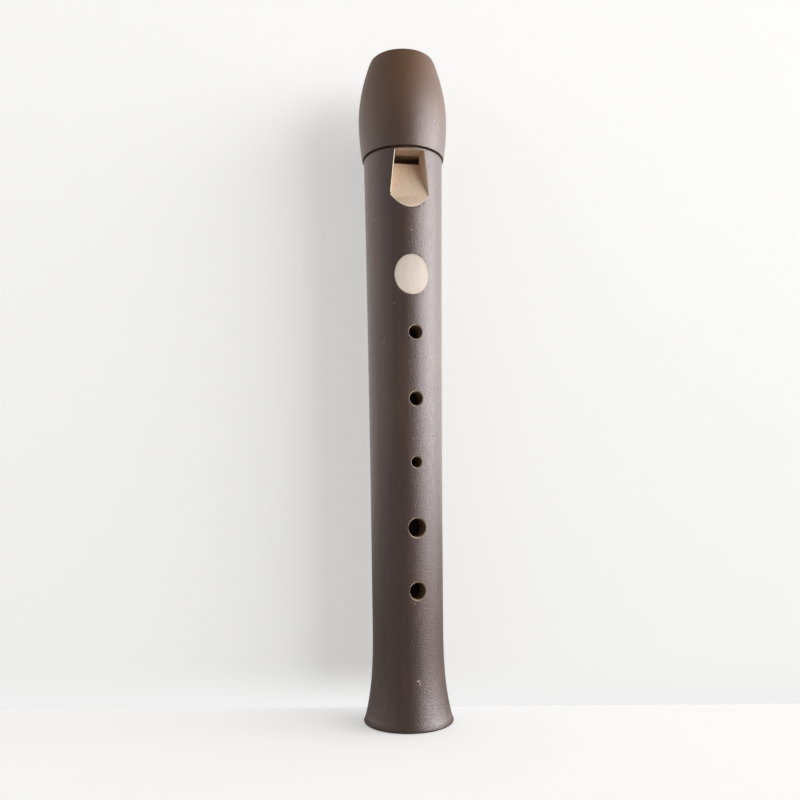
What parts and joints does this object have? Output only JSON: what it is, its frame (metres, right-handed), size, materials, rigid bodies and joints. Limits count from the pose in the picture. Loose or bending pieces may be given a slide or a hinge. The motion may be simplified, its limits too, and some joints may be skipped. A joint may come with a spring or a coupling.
{
  "type": "recorder",
  "caption": "Short wooden recorder standing on its flared foot, with a turned mouthpiece cap over the tenon, a pull-out block, window, finger rest, finger holes and thumb hole.",
  "frame": {"origin": "middle of the foot's flat end, on the axis of the bore", "axes": "+Z along the bore towards the mouth; the window and the finger holes face -Y, the beak's cut and the thumb hole face +Y"},
  "size_m": [0.0412, 0.0412, 0.3],
  "materials": {
    "stained_wood": "dark brown stain under a satin varnish, fine straight grain",
    "bare_wood": "bare pale maple or pear, cut smooth",
    "cork": "sanded cork, matt"
  },
  "bodies": {
    "tube": {"body_tube": "stained_wood", "tenon_cork": "cork"},
    "cap": {"mouthpiece_cap": "stained_wood"},
    "block": {"block": "bare_wood"}
  },
  "joints": [
    {"name": "cap_slide", "type": "slide", "parent": "tube", "child": "cap", "axis": [0, 0, 1], "range_m": [0, 0.05]},
    {"name": "block_slide", "type": "slide", "parent": "tube", "child": "block", "axis": [0, 0, 1], "range_m": [0, 0.05]}
  ]
}
